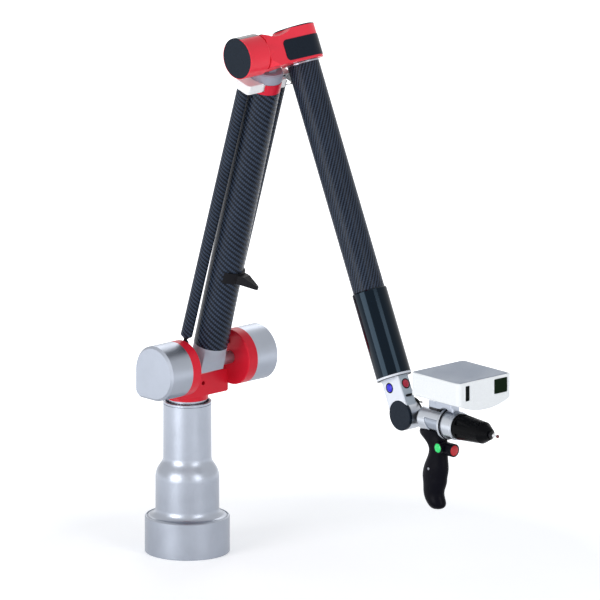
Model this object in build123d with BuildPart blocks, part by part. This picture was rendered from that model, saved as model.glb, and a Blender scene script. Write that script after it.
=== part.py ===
from build123d import *
import os
from math import acos, atan2, cos, hypot, radians, sin

os.makedirs("parts", exist_ok=True)

# Driving dimensions in mm. Z is up, Y runs along the hinges, X is the way the arm leans.
RUNNING = 0.05
foot_radius = 72.7
foot_height = 62.0
spigot_radius = 28.0
spigot_height = 51.0
screw_circle = 46.0
body_radius = 54.5
body_height = 69.0
neck_radius = 41.4
ogee_height = 37.0
neck_height = 90.0
shaft_radius = 15.0
ring_height = 7.4
flange_radius = 34.0
flange_rise = 12.0
block_height = 39.0

lean = radians(15.69)
shoulder_rise = 22.2
hinge_radius = 9.0
cheek_radius = 47.8
heel_radius = 15.0
cheek_inner = 54.6
cheek_outer = 74.6
shoulder_drum_end = 123.8

tube_radius = 29.3
tube_bore = 26.3
tube_start = 36.7
upper_length = 600.0

strut_y = 43.9
strut_radius = 10.25
strut_bore = 8.7
strut_hang = 57.0844
strut_set = 4.4892

housing_drum = 35.7
housing_left = 78.0
block_radius = 36.7
block_half = 30.0
forearm_y = 62.3
forearm_lean = (0.4126, -0.9109)
forearm_radius = 27.8
forearm_bore = 24.8
sleeve_radius = 30.8
sleeve_length = 151.0
sleeve_end = 588.0
ring_width = 4.0
fork_reach = 66.0441
fork_shift = -0.0751
fork_half_width = 23.5
fork_half_thick = 12.6
drum_radius = 26.3

barrel_radius = 21.5
barrel_length = 60.0

# Heights of the stand, worked up from the floor.
spigot_top = foot_height + spigot_height
body_top = foot_height + body_height
neck_start = body_top + ogee_height
neck_top = neck_start + neck_height
lip_top = neck_top + ring_height
flange_top = neck_top + flange_rise
block_low = flange_top + 10.0
block_high = block_low + block_height
shoulder = Vector(49.2, 0, block_high + shoulder_rise)

# Stations along the upper tube, counted from the shoulder, and along the forearm, from the elbow.
tube_end = upper_length - 70.3
ear_low = tube_end + 5.3
ear_high = ear_low + 16.0
collar_end = tube_end + 18.3
stem_end = upper_length - 33.5
sleeve_start = sleeve_end - sleeve_length
ring_end = sleeve_end + ring_width

# The frames the pieces are drawn in: along the upper tube, along the forearm and along the handle.
tube_dir = Vector(sin(lean), 0, cos(lean))
tube_front = Vector(cos(lean), 0, -sin(lean))
ARM = Plane(origin=shoulder, x_dir=tube_front, z_dir=tube_dir)
elbow = shoulder + tube_dir * upper_length
fore_dir = Vector(forearm_lean[0], 0, forearm_lean[1])
fore_front = Vector(-forearm_lean[1], 0, forearm_lean[0])
FORE = Plane(origin=elbow + Vector(0, forearm_y, 0), x_dir=fore_front, z_dir=fore_dir)
wrist = FORE.origin + fore_dir * (ring_end + fork_reach) + fore_front * fork_shift
SHOULDER = Plane(origin=shoulder, x_dir=(1, 0, 0), z_dir=(0, 1, 0))
ELBOW = Plane(origin=elbow, x_dir=tube_front, z_dir=(0, 1, 0))
WRIST = Plane(origin=Vector(wrist.X, 0, wrist.Z), x_dir=fore_front, z_dir=(0, 1, 0))

# Places across the wrist, and the handle's stations ahead of it.
fork_face = forearm_y - fork_half_thick
drum_front = forearm_y - 13.0
cap_back = forearm_y - 7.2
drum_back = forearm_y + 15.7
handle_y = forearm_y + 13.2
handle_z = wrist.Z
barrel_back = wrist.X + 36.1
lip_x = barrel_back + barrel_length
nose_back = lip_x + 31.0
HANDLE = Plane(origin=(0, handle_y, handle_z), x_dir=(0, 1, 0), z_dir=(1, 0, 0))

# The struts' pivots: the lower ones on the yoke's pins, the upper ones hung from the top casting.
pin_x = shoulder.X - 7.2
pin_low = shoulder.Z + 26.8
strut_low = shoulder + Vector(-8.2, 0, 38.8)
strut_high = elbow - tube_dir * strut_hang - tube_front * strut_set
strut_span = strut_high - strut_low
strut_dir = strut_span.normalized()
strut_front = Vector(strut_dir.Z, 0, -strut_dir.X)


def disc(plane, radius, start, stop, at=(0, 0)):
    """Cylinder along the plane's normal, from start to stop."""
    with BuildPart() as body:
        with BuildSketch(plane.offset(start)):
            with Locations(at):
                Circle(radius)
        extrude(amount=stop - start)
    return body.part


def ring(plane, outer, inner, start, stop, at=(0, 0)):
    """Plain ring along the plane's normal, from start to stop."""
    with BuildPart() as body:
        with BuildSketch(plane.offset(start)):
            with Locations(at):
                Circle(outer)
                Circle(inner, mode=Mode.SUBTRACT)
        extrude(amount=stop - start)
    return body.part


def turned(plane, outline):
    """Solid turned about the plane's normal from (radius, height) points."""
    section = Plane(origin=plane.origin, x_dir=plane.x_dir, z_dir=-plane.y_dir)
    with BuildPart() as body:
        with BuildSketch(section):
            with BuildLine():
                Polyline(*outline, close=True)
            make_face()
        revolve(axis=Axis(plane.origin, plane.z_dir))
    return body.part


def slab(plane, outline, start, stop):
    """Prism of a polygon along the plane's normal, from start to stop."""
    with BuildPart() as body:
        with BuildSketch(plane.offset(start)):
            with BuildLine():
                Polyline(*outline, close=True)
            make_face()
        extrude(amount=stop - start)
    return body.part


def bar(plane, x_low, x_high, y_low, y_high, start, stop, corner=0.0):
    """Rectangular bar along the plane's normal, its long edges rounded by corner."""
    with BuildPart() as body:
        with BuildSketch(plane.offset(start)):
            with Locations(((x_low + x_high) / 2, (y_low + y_high) / 2)):
                if corner > 0:
                    RectangleRounded(x_high - x_low, y_high - y_low, corner)
                else:
                    Rectangle(x_high - x_low, y_high - y_low)
        extrude(amount=stop - start)
    return body.part


def side(y):
    """Upright plane at the given Y, seen from the left: x forward, y up, normal to -Y."""
    return Plane(origin=(0, y, 0), x_dir=(1, 0, 0), z_dir=(0, -1, 0))


def cheek_face(y, radius, corner_radius):
    """The shoulder's end profile at the given Y: a circle whose lower rear quarter is squared."""
    middle_x = shoulder.X
    middle_z = shoulder.Z
    rear = middle_x - radius
    low = middle_z - radius
    cut = corner_radius * (1 - sin(radians(45)))
    with BuildSketch(side(y)) as face:
        with BuildLine():
            Line((rear, middle_z), (rear, low + corner_radius))
            ThreePointArc((rear, low + corner_radius), (rear + cut, low + cut),
                          (rear + corner_radius, low))
            Line((rear + corner_radius, low), (middle_x, low))
            ThreePointArc((middle_x, low), (middle_x + radius, middle_z),
                          (middle_x, middle_z + radius))
            ThreePointArc((middle_x, middle_z + radius),
                          (middle_x - radius * sin(radians(45)),
                           middle_z + radius * sin(radians(45))), (rear, middle_z))
        make_face()
    return face.sketch


# Stand: a steel foot with a column standing on its spigot.
rim_top = foot_height + 1.7
spigot_fit = spigot_radius - RUNNING
with BuildPart() as base_foot:
    add(turned(Plane.XY, [(0, 0), (foot_radius - 1.5, 0), (foot_radius, 1.5),
                          (foot_radius, rim_top - 1.3), (foot_radius - 1.3, rim_top),
                          (foot_radius - 3.1, rim_top), (foot_radius - 3.1, foot_height),
                          (spigot_radius, foot_height), (spigot_fit, foot_height),
                          (spigot_fit, spigot_top), (0, spigot_top)]))
    add(disc(Plane.XY, 9.0, 30.0, spigot_top), mode=Mode.SUBTRACT)
    with PolarLocations(screw_circle, 4):
        Cylinder(7.0, 12, align=(Align.CENTER, Align.CENTER, Align.MIN), mode=Mode.SUBTRACT)
        Cylinder(4.2, foot_height + 8, align=(Align.CENTER, Align.CENTER, Align.MIN),
                 mode=Mode.SUBTRACT)
    with PolarLocations(60.0, 3, start_angle=45):
        Cylinder(3.3, 20, align=(Align.CENTER, Align.CENTER, Align.MIN), mode=Mode.SUBTRACT)

bearing_seat = 24.0
fillet_out = foot_radius - 6.2
fillet_low = foot_height + 2.2
fillet_top = foot_height + 16.0
# Power inlet, data socket and switch share one height on a flat at the column's back.
socket_face = 5.5 - body_radius
socket_z = foot_height + 45.0
inlet_at = (-13, socket_z)
switch_at = (19, socket_z)
with BuildPart() as base_column:
    with BuildSketch(Plane.XZ):
        with BuildLine():
            Polyline((body_radius, fillet_top), (body_radius, body_top))
            Spline((body_radius, body_top), (neck_radius + 7.2, body_top + 19.5),
                   (neck_radius, neck_start), tangents=((0, 1), (0, 1)))
            Polyline((neck_radius, neck_start), (neck_radius, neck_top),
                     (bearing_seat, neck_top), (bearing_seat, body_top + 1),
                     (spigot_radius, body_top + 1), (spigot_radius, foot_height),
                     (fillet_out + 1.7, foot_height), (fillet_out + 1.7, foot_height + 1.2),
                     (fillet_out, fillet_low))
            Spline((fillet_out, fillet_low), (body_radius + 3, fillet_low + 4.2),
                   (body_radius, fillet_top), tangents=((-1, 0), (0, 1)))
        make_face()
    revolve(axis=Axis.Z)
    with PolarLocations(screw_circle, 4):
        with Locations((0, 0, foot_height)):
            Cylinder(4.0, 22, align=(Align.CENTER, Align.CENTER, Align.MIN), mode=Mode.SUBTRACT)
    add(bar(Plane.YZ, -25, 25, socket_z - 19, socket_z + 19, -body_radius - 1.5, socket_face),
        mode=Mode.SUBTRACT)
    add(disc(Plane.YZ, 6.5, socket_face - 0.5, socket_face + 19, at=inlet_at),
        mode=Mode.SUBTRACT)
    add(bar(Plane.YZ, -2, 12, socket_z - 7, socket_z + 5, socket_face - 0.5, socket_face + 29),
        mode=Mode.SUBTRACT)
    add(disc(Plane.YZ, 5.5, socket_face - 0.5, socket_face + 9, at=switch_at),
        mode=Mode.SUBTRACT)

ring_bore = flange_radius + 3.5
with BuildPart() as neck_ring:
    add(turned(Plane.XY, [(ring_bore, neck_top), (neck_radius, neck_top),
                          (neck_radius, neck_top + 2.4), (neck_radius - 1, neck_top + 2.8),
                          (neck_radius - 1, neck_top + 3.3), (neck_radius, neck_top + 3.7),
                          (neck_radius, lip_top - 0.6), (neck_radius - 0.6, lip_top),
                          (ring_bore + 0.6, lip_top), (ring_bore, lip_top - 0.6)]))

with BuildPart() as swivel_bearings:
    add(ring(Plane.XY, bearing_seat, shaft_radius, neck_top - 14, neck_top - 2))
    add(ring(Plane.XY, bearing_seat, shaft_radius, body_top + 9, body_top + 21))
    add(ring(Plane.XY, bearing_seat, bearing_seat - 4, body_top + 21, neck_top - 14))

with BuildPart() as base_screws:
    for turn in range(4):
        place = Vector(screw_circle, 0).rotate(Axis.Z, 90 * turn)
        add(disc(Plane.XY, 6.5, 4, 12, at=(place.X, place.Y)))
        add(disc(Plane.XY, 4.0, 12, foot_height + 20, at=(place.X, place.Y)))
        add(disc(Plane.XY, 3.0, 4, 8, at=(place.X, place.Y)), mode=Mode.SUBTRACT)

socket_out = socket_face - 3.0
socket_in = socket_face + 9.0
with BuildPart() as rear_sockets:
    add(bar(Plane.YZ, -24.9, 24.9, socket_z - 18.9, socket_z + 18.9, socket_out, socket_face,
            3))
    add(disc(Plane.YZ, 6.4, socket_face, socket_face + 13, at=inlet_at))
    add(bar(Plane.YZ, -1.8, 11.8, socket_z - 6.8, socket_z + 4.8, socket_face,
            socket_face + 13))
    add(disc(Plane.YZ, 4.2, socket_out, socket_in, at=inlet_at), mode=Mode.SUBTRACT)
    add(disc(Plane.YZ, 1.2, socket_face + 3, socket_in, at=inlet_at))
    add(bar(Plane.YZ, 0.8, 9.2, socket_z - 5.4, socket_z + 3.4, socket_out, socket_in),
        mode=Mode.SUBTRACT)
    add(bar(Plane.YZ, 2.4, 7.6, socket_z - 3, socket_z + 1, socket_face + 1, socket_in))
    add(disc(Plane.YZ, 4.55, socket_out, socket_face, at=switch_at), mode=Mode.SUBTRACT)

with BuildPart() as power_button:
    add(disc(Plane.YZ, 4.5, socket_face - 5.6, socket_face + 0.4, at=switch_at))
    add(disc(Plane.YZ, 5.3, socket_face + 0.4, socket_face + 3, at=switch_at))

# Swivel: hollow shaft with a flange, red yoke, drums outside its cheeks.
cable_bore = 9.0
shaft_fit = shaft_radius - RUNNING
hub_radius = 20.0
yoke_round = flange_radius + 2.0
with BuildPart() as swivel_shaft:
    add(turned(Plane.XY, [(cable_bore, spigot_top + 3), (shaft_fit, spigot_top + 3),
                          (shaft_fit, neck_top - 1.9), (19, neck_top - 1.9),
                          (19, neck_top + 3), (flange_radius - 0.6, neck_top + 3),
                          (flange_radius, neck_top + 3.6), (flange_radius, flange_top),
                          (hub_radius, flange_top), (hub_radius, block_low - 1),
                          (cable_bore, block_low - 1)]))

with BuildPart() as base_encoder_disc:
    add(ring(Plane.XY, 25.0, shaft_fit, spigot_top + 7, spigot_top + 8.6))

with BuildPart() as rim_wedges:
    for hand in (-1, 1):
        add(turned(Plane(origin=shoulder, x_dir=(1, 0, 0), z_dir=(0, hand, 0)),
                   [(cheek_radius - 1.5, cheek_inner - 0.1),
                    (cheek_radius + 0.7, cheek_inner - 0.1),
                    (cheek_radius + 0.7, cheek_inner + 2.1)]))
    add(bar(Plane.XY, shoulder.X - 59.2, shoulder.X - 8.2, -cheek_outer - 5, cheek_outer + 5,
            block_low, block_high + 3), mode=Mode.SUBTRACT)

hinge_seat = hinge_radius + 6.0
with BuildPart() as shoulder_yoke:
    with BuildSketch(Plane.XY.offset(flange_top)):
        Circle(yoke_round)
    extrude(amount=block_low + 2 - flange_top)
    with BuildSketch(Plane.YZ.offset(-yoke_round)):
        with Locations((0, (block_low + block_high) / 2)):
            RectangleRounded(2 * cheek_inner + 4.8, block_high - block_low, 4)
    extrude(amount=yoke_round + shoulder.X - 8.7)
    extrude(cheek_face(cheek_outer, cheek_radius, heel_radius),
            amount=cheek_outer - cheek_inner)
    extrude(cheek_face(-cheek_inner, cheek_radius, heel_radius),
            amount=cheek_outer - cheek_inner)
    add(rim_wedges.part, mode=Mode.SUBTRACT)
    add(disc(SHOULDER, hinge_seat, -cheek_outer, -cheek_inner - 2), mode=Mode.SUBTRACT)
    add(disc(SHOULDER, hinge_seat, cheek_inner + 2, cheek_outer), mode=Mode.SUBTRACT)
    add(disc(SHOULDER, hinge_radius + 0.6, -cheek_outer, cheek_outer), mode=Mode.SUBTRACT)
    add(disc(Plane.XY, hub_radius, flange_top - 5, block_low - 1), mode=Mode.SUBTRACT)
    add(disc(Plane.XY, cable_bore, block_low - 1, block_high + 6), mode=Mode.SUBTRACT)
    add(disc(Plane.YZ, 3.5, shoulder.X - 21.2, shoulder.X - 4.2, at=(0, block_low + 22.5)),
        mode=Mode.SUBTRACT)
    for hand in (-1, 1):
        add(disc(side(cheek_inner + 6 if hand > 0 else -cheek_inner), 3.0, 0, 6,
                 at=(pin_x, pin_low)), mode=Mode.SUBTRACT)

drum_bevel = 4.0
bevel_start = shoulder_drum_end - drum_bevel
drum_hollow = cheek_radius - 7.8
with BuildPart() as shoulder_drum_right:
    extrude(cheek_face(bevel_start, cheek_radius, heel_radius), amount=bevel_start - cheek_outer)
    loft([cheek_face(bevel_start, cheek_radius, heel_radius),
          cheek_face(shoulder_drum_end, cheek_radius - drum_bevel, heel_radius - drum_bevel)], ruled=True)
    add(disc(SHOULDER, drum_hollow, cheek_outer + 5, shoulder_drum_end - 6), mode=Mode.SUBTRACT)
    add(disc(SHOULDER, 18.0, cheek_outer - 1, cheek_outer + 6), mode=Mode.SUBTRACT)

with BuildPart() as shoulder_drum_left:
    extrude(cheek_face(-cheek_outer, cheek_radius, heel_radius), amount=bevel_start - cheek_outer)
    loft([cheek_face(-bevel_start, cheek_radius, heel_radius),
          cheek_face(-shoulder_drum_end, cheek_radius - drum_bevel, heel_radius - drum_bevel)], ruled=True)
    add(disc(SHOULDER, drum_hollow, 6 - shoulder_drum_end, -cheek_outer - 5), mode=Mode.SUBTRACT)
    add(disc(SHOULDER, 18.0, -cheek_outer - 6, 1 - cheek_outer), mode=Mode.SUBTRACT)

with BuildPart() as shoulder_bearings:
    add(ring(SHOULDER, hinge_seat, hinge_radius, cheek_inner + 2, cheek_inner + 12))
    add(ring(SHOULDER, hinge_seat, hinge_radius, -cheek_inner - 12, -cheek_inner - 2))

with BuildPart() as strut_pins:
    for hand in (-1, 1):
        with BuildSketch(side(cheek_inner if hand > 0 else 3.4 - cheek_inner)):
            with BuildLine():
                Polyline((pin_x - 4.5, pin_low), (strut_low.X - 4.5, strut_low.Z),
                         (strut_low.X + 4.5, strut_low.Z), (pin_x + 4.5, pin_low), close=True)
            make_face()
            with Locations((pin_x, pin_low), (strut_low.X, strut_low.Z)):
                Circle(4.5)
        extrude(amount=3.4)
    for hand in (-1, 1):
        with Locations(Location((strut_low.X, hand * (strut_y + 1.3), strut_low.Z),
                                (90, 0, 0))):
            Cylinder(2.5, 13)
        with Locations(Location((pin_x, hand * (cheek_inner + 2.0), pin_low), (90, 0, 0))):
            Cylinder(2.95, 4.2)

# Upper arm: tapered trunnion on its shaft, carbon tube, casting that holds the struts.
with BuildPart() as trunnion:
    with BuildSketch(ARM.offset(tube_start)):
        Circle(tube_radius)
    with BuildSketch(ARM.offset(9)):
        Rectangle(32, 52)
    loft()
    with BuildSketch(ARM.offset(-9.6)):
        Rectangle(32, 52)
    extrude(amount=19)
    with BuildSketch(ARM.offset(tube_start)):
        Circle(tube_bore)
    extrude(amount=24)
    add(disc(SHOULDER, hinge_radius, -30, 30), mode=Mode.SUBTRACT)
    add(disc(ARM, 14.0, 20, tube_start + 33.3), mode=Mode.SUBTRACT)

hinge_fit = hinge_radius - RUNNING
with BuildPart() as shoulder_shaft:
    add(disc(SHOULDER, hinge_radius, -26, 26))
    add(disc(SHOULDER, hinge_fit, 26, shoulder_drum_end - 31.8))
    add(disc(SHOULDER, hinge_fit, 23.8 - shoulder_drum_end, -26))
    add(disc(SHOULDER, hinge_radius + 2, 26.6, cheek_inner - 0.6))
    add(disc(SHOULDER, hinge_radius + 2, 0.6 - cheek_inner, -26.6))

with BuildPart() as shoulder_encoder_disc:
    add(ring(SHOULDER, 34.0, hinge_fit, 26.8 - shoulder_drum_end, 28.8 - shoulder_drum_end))

with BuildPart() as upper_tube:
    add(ring(ARM, tube_radius, tube_bore, tube_start, tube_end))

with BuildPart() as upper_collar:
    add(ring(ARM, tube_radius, tube_bore, tube_end, collar_end))
    for hand in (-1, 1):
        add(bar(ARM, -18, 22, min(hand * 15.0, hand * 60.0), max(hand * 15.0, hand * 60.0),
                ear_low - 0.1, collar_end + 2), mode=Mode.SUBTRACT)

roll_radius = 12.0
roll_seat = 18.0
with BuildPart() as top_casting:
    with BuildSketch(ARM.offset(ear_low)):
        with Locations((2, -36), (2, 36)):
            RectangleRounded(36, 40, 6)
    extrude(amount=ear_high - ear_low)
    with BuildSketch(ARM.offset(ear_low)):
        Circle(tube_radius)
    extrude(amount=ear_high - ear_low, mode=Mode.SUBTRACT)
    with BuildSketch(ARM.offset(ear_low + 1)):
        with Locations((2, 0)):
            Rectangle(36, 64)
        Circle(tube_bore, mode=Mode.SUBTRACT)
    extrude(amount=collar_end - ear_low - 1)
    add(ring(ARM, tube_bore, roll_seat, tube_end - 59.7, collar_end))
    for hand in (-1, 1):
        add(bar(ARM, -20, 15, hand * strut_y - 10.9, hand * strut_y + 10.9, ear_low - 15,
                ear_high - 2.4, 10), mode=Mode.SUBTRACT)
    right_cut = Plane(origin=shoulder, x_dir=tube_front, z_dir=(0, 1, 0))
    add(slab(right_cut, [(4.0, -ear_high - 9), (4.0, 6 - ear_high), (24, 7 - ear_low),
                         (30, 7 - ear_low), (30, -ear_high - 9)], 30.5, 60),
        mode=Mode.SUBTRACT)
    for hand in (-1, 1):
        with Locations(Location((strut_high.X, hand * (strut_y - 0.3), strut_high.Z),
                                (90, 0, 0))):
            Cylinder(2.5, 25.0)

with BuildPart() as upper_bearings:
    add(ring(ARM, roll_seat, roll_radius, tube_end + 0.3, tube_end + 11.3))
    add(ring(ARM, roll_seat, roll_radius, tube_end - 55.7, tube_end - 44.7))

with BuildPart() as parking_rest:
    fin_turn = 20.0
    fin_height = 174.0
    fin_plane = ARM.offset(fin_height).rotated((0, 0, fin_turn))
    with BuildSketch(fin_plane.offset(-8)):
        Circle(tube_radius + 3.4)
        with Locations((-18, 0)):
            Rectangle(60, 80, mode=Mode.SUBTRACT)
    extrude(amount=19)
    with BuildSketch(fin_plane.offset(-7)):
        with BuildLine():
            Polyline((20, -15), (20, 15), (36, 12), (62, 4.5), (66, 2.5), (66, -2.5),
                     (62, -4.5), (36, -12), close=True)
        make_face()
    extrude(amount=15)
    fin_side = Plane(origin=fin_plane.origin, x_dir=fin_plane.x_dir, z_dir=-fin_plane.y_dir)
    add(slab(fin_side, [(33, 11), (68, -2.5), (72, 20), (33, 20)], -30, 30),
        mode=Mode.SUBTRACT)
    add(disc(ARM, tube_radius, fin_height - 24, fin_height + 26), mode=Mode.SUBTRACT)

# Counterbalance struts beside the tube.
strut_length = strut_span.length
for name, hand in (("left", -1), ("right", 1)):
    STRUT = Plane(origin=strut_low + Vector(0, hand * strut_y, 0), x_dir=strut_front,
                  z_dir=strut_dir)
    PIN = Plane(origin=STRUT.origin, x_dir=(1, 0, 0), z_dir=(0, 1, 0))
    HOOK = Plane(origin=strut_high + Vector(0, hand * strut_y, 0), x_dir=(1, 0, 0),
                 z_dir=(0, 1, 0))
    with BuildPart() as strut_sleeve:
        add(turned(STRUT, [(strut_bore, 16), (9.0, 15.2), (strut_radius, 16.5),
                           (strut_radius, strut_length - 8.4),
                           (strut_radius - 0.5, strut_length - 8), (strut_bore, strut_length - 8)]))
    strut_sleeve.part.label = "strut_sleeve_" + name
    export_step(strut_sleeve.part, "parts/strut_sleeve_" + name + ".step")

    with BuildPart() as strut_end:
        add(turned(STRUT, [(0, 4), (3.2, 4), (3.2, 9), (strut_bore - 0.7, 15.2),
                           (strut_bore, 16), (strut_bore, 26), (0, 26)]))
        add(disc(PIN, 5.4, -4.8, 4.8))
        add(disc(PIN, 2.5 + RUNNING, -6, 6), mode=Mode.SUBTRACT)
    strut_end.part.label = "strut_end_" + name
    export_step(strut_end.part, "parts/strut_end_" + name + ".step")

    with BuildPart() as strut_rod:
        add(disc(STRUT, 2.5, 120, strut_length - 3.5))
        add(disc(HOOK, 4.6, -4, 4))
        add(disc(HOOK, 2.5 + RUNNING, -6, 6), mode=Mode.SUBTRACT)
    strut_rod.part.label = "strut_rod_" + name
    export_step(strut_rod.part, "parts/strut_rod_" + name + ".step")

# Elbow stem: roll spindle in the tube's top, ending in the tongue of the hinge.
tongue_radius = 14.0
with BuildPart() as elbow_stem:
    add(disc(ARM, roll_radius - RUNNING, tube_end - 63.7, collar_end + 0.4))
    add(turned(ARM, [(0, collar_end + 0.4), (tube_radius - 0.7, collar_end + 0.4),
                     (tube_radius - 0.7, stem_end - 3), (tube_radius - 2.8, stem_end),
                     (0, stem_end)]))
    with BuildSketch(ARM.offset(stem_end - 3)):
        Rectangle(2 * tongue_radius, 16)
    extrude(amount=upper_length - stem_end + 3)
    add(disc(ELBOW, tongue_radius, -8, 8))
    add(disc(ELBOW, 7.0, -10, 10), mode=Mode.SUBTRACT)
    add(disc(ARM, 6.0, tube_end - 63.7, stem_end + 3.5), mode=Mode.SUBTRACT)

with BuildPart() as elbow_shaft:
    add(disc(ELBOW, 7.0, -8, 8))
    add(disc(ELBOW, 6.95, 8, 28))
    add(disc(ELBOW, 6.95, -60, -8))
    add(disc(ELBOW, 7.6, -12.0, -8.05))

# Elbow housing: left drum, saddle and right block, which holds the forearm's spindle.
cap_y = -housing_left
cap_radius = 34.6
front_low = 31.8
front_start = -31.0
reach = hypot(front_start - forearm_y, front_low)
tangent_turn = atan2(front_low, front_start - forearm_y) - acos(block_radius / reach)
tangent = (block_radius * cos(tangent_turn), block_radius * sin(tangent_turn))
# The block's section across the forearm: u forward, then Y, measured from the forearm's axis.
SECTION = Plane(origin=FORE.origin, x_dir=(0, 1, 0), z_dir=fore_dir)


def block_section(grow, low, high):
    """The block between two stations along the forearm, its front face grown outwards."""
    with BuildPart() as body:
        with BuildSketch(SECTION.offset(low)):
            Circle(block_radius + grow)
            with BuildLine():
                Polyline((front_start - forearm_y, 0), (0, 0), (tangent[0], tangent[1] + grow),
                         (front_start - forearm_y, front_low + grow), close=True)
            make_face()
        extrude(amount=high - low)
    return body.part


saddle_line = [(-32.0, 40.0), (-32.0, 33.0), (-27.5, 28.5), (-18, 22.2), (-7, 20.0), (6, 20.6),
               (18, 23.6), (26, 27.6), (31.5, 31.5), (31.5, 40.0)]
with BuildPart() as saddle_groove:
    with BuildSketch(Plane(origin=elbow - fore_front * 60, x_dir=(0, 1, 0),
                           z_dir=fore_front)):
        with BuildLine():
            Spline(*saddle_line[1:9])
            Polyline(saddle_line[8], saddle_line[9], (31.5, 60), (-32, 60), saddle_line[0],
                     saddle_line[1])
        make_face()
    extrude(amount=120)

with BuildPart() as elbow_housing:
    add(block_section(0, -block_half, block_half))
    add(turned(ELBOW, [(36.2, -31.2), (60, -31.2), (60, -10), (45.5, -10)]),
        mode=Mode.SUBTRACT)
    add(turned(ELBOW, [(0, -33), (33.0, -33), (33.0, -12), (31.0, 8), (29.6, 34), (0, 34)]))
    add(saddle_groove.part, mode=Mode.SUBTRACT)
    add(turned(ELBOW, [(0, cap_y + 3), (cap_radius + 0.05, cap_y + 3),
                       (cap_radius + 0.05, cap_y), (housing_drum - 0.3, cap_y),
                       (housing_drum, cap_y + 0.3), (housing_drum, -34.5), (34.4, -32.2),
                       (31.6, -31), (0, -31)]))
    add(disc(FORE, block_radius, -block_half, block_half))
    add(disc(ELBOW, 14.4, -8.1, 8.1), mode=Mode.SUBTRACT)
    add(slab(ELBOW, [(0, 0)] + [(70 * cos(radians(a)), 70 * sin(radians(a)))
                               for a in range(86, 223, 8)], -8.1, 8.1),
        mode=Mode.SUBTRACT)
    for turn in (86.5, 218):
        away = Vector(cos(radians(turn)), sin(radians(turn))) * 70
        over = Vector(-sin(radians(turn)), cos(radians(turn))) * 14.4
        add(slab(ELBOW, [(over.X, over.Y), (away.X + over.X, away.Y + over.Y),
                         (away.X - over.X, away.Y - over.Y), (-over.X, -over.Y)],
                 -8.1, 8.1), mode=Mode.SUBTRACT)
    add(disc(ELBOW, 12.0, -60, -8.1), mode=Mode.SUBTRACT)
    add(disc(ELBOW, 32.0, cap_y + 5, -56), mode=Mode.SUBTRACT)
    add(disc(ELBOW, 28.0, cap_y + 2.9, cap_y + 6), mode=Mode.SUBTRACT)
    add(ring(ELBOW, 29.5, 15.5, -56.5, -36), mode=Mode.SUBTRACT)
    add(disc(FORE, 20.0, -block_half + 6, block_half), mode=Mode.SUBTRACT)
    add(disc(FORE, 32.0, -block_half + 17.5, block_half - 12.5), mode=Mode.SUBTRACT)
    add(bar(SECTION, -52, -20, -28, -16, -24, 20), mode=Mode.SUBTRACT)
    add(ring(ELBOW, 16.0, 12.0, 12.0, 34.0))
    add(disc(ELBOW, 12.0, 8.1, 28), mode=Mode.SUBTRACT)
    add(disc(FORE, 20.0, -block_half + 6, block_half), mode=Mode.SUBTRACT)
    add(disc(FORE, 34.5, -block_half - 5, -block_half + 1.5), mode=Mode.SUBTRACT)

with BuildPart() as elbow_cap:
    add(turned(ELBOW, [(0, cap_y + 3), (cap_radius, cap_y + 3), (cap_radius, cap_y + 0.4),
                       (cap_radius - 0.6, cap_y - 0.2), (0, cap_y - 0.2)]))

with BuildPart() as elbow_top_plate:
    add(turned(FORE, [(0, -block_half - 1.4), (33.4, -block_half - 1.4),
                      (34.4, -block_half - 0.4), (34.4, -block_half + 1.5),
                      (0, -block_half + 1.5)]))

panel_low = -block_half + 19.5
panel_high = block_half - 4
panel_left = -13.0
with BuildPart() as elbow_panel:
    add(block_section(0.9, panel_low, panel_high))
    add(block_section(0.05, panel_low - 1, panel_high + 1), mode=Mode.SUBTRACT)
    with BuildSketch(Plane(origin=FORE.origin, x_dir=fore_dir, z_dir=fore_front)):
        with Locations(((panel_low + panel_high) / 2, -(panel_left - forearm_y + 60) / 2)):
            RectangleRounded(panel_high - panel_low, 60 - panel_left + forearm_y, 8)
    extrude(amount=60, mode=Mode.INTERSECT)

with BuildPart() as elbow_bearings:
    add(ring(ELBOW, 12.0, 7.0, 14, 24))
    add(ring(ELBOW, 12.0, 7.0, -54, -44))
    add(ring(FORE, 20.0, 12.0, block_half - 12, block_half - 1))
    add(ring(FORE, 20.0, 12.0, -block_half + 8, -block_half + 17))

# Forearm: spindle, carbon tube, glossy sleeve, white ring and fork, drum of the wrist.
tube_top = block_half + 0.6
with BuildPart() as forearm_spindle:
    add(disc(FORE, 11.95, -block_half + 6.5, tube_top))
    add(turned(FORE, [(0, tube_top), (20, tube_top), (forearm_radius, tube_top + 0.4),
                      (forearm_radius, tube_top + 3), (forearm_bore, tube_top + 3),
                      (forearm_bore, tube_top + 20), (0, tube_top + 20)]))
    add(disc(FORE, 8.0, -block_half, 80), mode=Mode.SUBTRACT)

with BuildPart() as forearm_tube:
    add(ring(FORE, forearm_radius, forearm_bore, tube_top + 3, sleeve_end))

with BuildPart() as grip_sleeve:
    add(turned(FORE, [(forearm_radius, sleeve_start), (sleeve_radius - 1.6, sleeve_start),
                      (sleeve_radius, sleeve_start + 2), (sleeve_radius, sleeve_end),
                      (forearm_radius, sleeve_end)]))

with BuildPart() as sleeve_ring:
    add(turned(FORE, [(20, sleeve_end), (29.8, sleeve_end), (29.8, sleeve_end + 0.5),
                      (sleeve_radius, sleeve_end + 0.5), (sleeve_radius, ring_end - 0.6),
                      (30.2, ring_end), (20, ring_end)]))

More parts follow.
